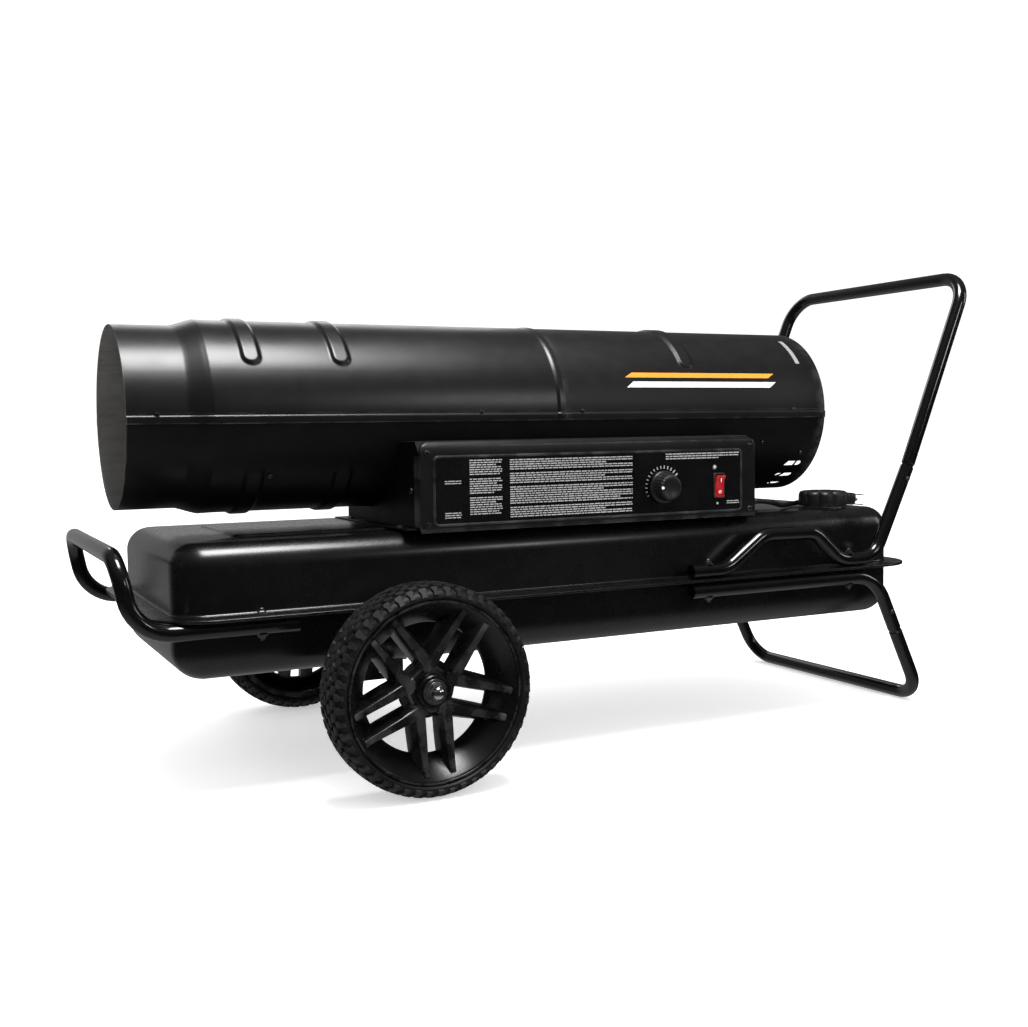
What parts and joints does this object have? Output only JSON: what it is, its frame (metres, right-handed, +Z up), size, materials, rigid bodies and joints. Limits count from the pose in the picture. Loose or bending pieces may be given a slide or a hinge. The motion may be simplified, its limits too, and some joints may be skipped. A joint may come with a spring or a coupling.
{
  "type": "forced-air kerosene heater",
  "caption": "Forced-air kerosene heater: a horizontal barrel with burner, fan and pump on a wheeled fuel tank with push handle, leg and control panel.",
  "frame": {"origin": "on the floor, under the middle of the bounding box", "axes": "+X from the hot-air outlet to the push handle, +Z up; the control panel faces -Y"},
  "size_m": [1.0388, 0.4912, 0.533],
  "materials": {
    "tank_paint": "semi-gloss black paint",
    "barrel_paint": "satin black powder coat",
    "tube_paint": "gloss black powder coat",
    "motor_paint": "dark grey paint",
    "black_plastic": "moulded, fine grain",
    "cream_plastic": "moulded",
    "rim_plastic": "moulded, satin",
    "red_plastic": "translucent red",
    "lamp_lens": "clear lens",
    "label_film": "gloss printed film",
    "board_green": "circuit board",
    "ceramic": "glazed",
    "cord_rubber": "smooth black rubber",
    "tyre_rubber": "moulded tread",
    "zinc_steel": "zinc plated",
    "hot_steel": "heat stained",
    "chrome": "bright plated",
    "cast_aluminium": "die cast",
    "brass": "machined",
    "copper": "drawn tube"
  },
  "bodies": {
    "chassis": {"tank_upper_pan": "tank_paint", "tank_lower_pan": "tank_paint", "drain_plug": "zinc_steel", "filler_neck": "zinc_steel", "upper_shell_front": "barrel_paint", "upper_shell_rear": "barrel_paint", "lower_shell": "barrel_paint", "combustion_chamber": "hot_steel", "chamber_baffle": "hot_steel", "burner_head": "cast_aluminium", "nozzle": "brass", "spark_plug": "ceramic", "flame_sensor": "black_plastic", "motor": "motor_paint", "motor_bracket": "zinc_steel", "pump_body": "cast_aluminium", "pump_cover": "cast_aluminium", "relief_screw": "brass", "air_line": "copper", "fan_guard": "tube_paint", "base_housing": "barrel_paint", "side_cover": "barrel_paint", "label_plate": "label_film", "thermostat": "cream_plastic", "switch_frame": "black_plastic", "indicator_lamp": "lamp_lens", "circuit_board": "board_green", "ignition_transformer": "black_plastic", "fuel_line": "copper", "fuel_pickup": "cream_plastic", "strain_relief": "black_plastic", "power_cord": "cord_rubber", "power_plug": "cord_rubber", "front_handle": "tube_paint", "rear_handle_left": "tube_paint", "rear_handle_right": "tube_paint", "rear_handle_upper": "tube_paint", "leg_left": "tube_paint", "leg_right": "tube_paint", "leg_lower": "tube_paint", "axle": "zinc_steel", "axle_nut_left": "chrome", "axle_bracket_left": "tank_paint", "axle_nut_right": "chrome", "axle_bracket_right": "tank_paint"},
    "wheel_left": {"rim_left": "rim_plastic", "tyre_left": "tyre_rubber"},
    "wheel_right": {"rim_right": "rim_plastic", "tyre_right": "tyre_rubber"},
    "rotor": {"fan": "cast_aluminium", "motor_shaft": "zinc_steel", "pump_rotor": "zinc_steel"},
    "knob": {"thermostat_knob": "black_plastic", "thermostat_stem": "zinc_steel"},
    "switch_rocker": {"rocker": "red_plastic"},
    "cap_plate": {"cap_retainer": "zinc_steel", "cap_gasket": "cord_rubber"},
    "cap_grip": {"fuel_cap": "black_plastic"}
  },
  "joints": [
    {"name": "wheel_left_spin", "type": "hinge", "parent": "chassis", "child": "wheel_left", "pos_m": [-0.2448, -0.2142, 0.1016], "axis": [0, 1, 0], "continuous": true},
    {"name": "wheel_right_spin", "type": "hinge", "parent": "chassis", "child": "wheel_right", "pos_m": [-0.2448, 0.2142, 0.1016], "axis": [0, 1, 0], "continuous": true},
    {"name": "fan_spin", "type": "hinge", "parent": "chassis", "child": "rotor", "pos_m": [0.058, 0, 0.3618], "axis": [1, 0, 0], "continuous": true},
    {"name": "thermostat_turn", "type": "hinge", "parent": "chassis", "child": "knob", "pos_m": [0.064, -0.16, 0.279], "axis": [0, 1, 0], "range_deg": [-45, 225]},
    {"name": "rocker_tilt", "type": "hinge", "parent": "chassis", "child": "switch_rocker", "pos_m": [0.1385, -0.1532, 0.2785], "axis": [1, 0, 0], "range_deg": [-20, 0]},
    {"name": "cap_lift", "type": "slide", "parent": "chassis", "child": "cap_plate", "axis": [0, 0, 1], "range_m": [0, 0.02]},
    {"name": "cap_turn", "type": "hinge", "parent": "cap_plate", "child": "cap_grip", "pos_m": [0.34, -0.093, 0.25], "axis": [0, 0, 1], "range_deg": [0, 90]}
  ]
}
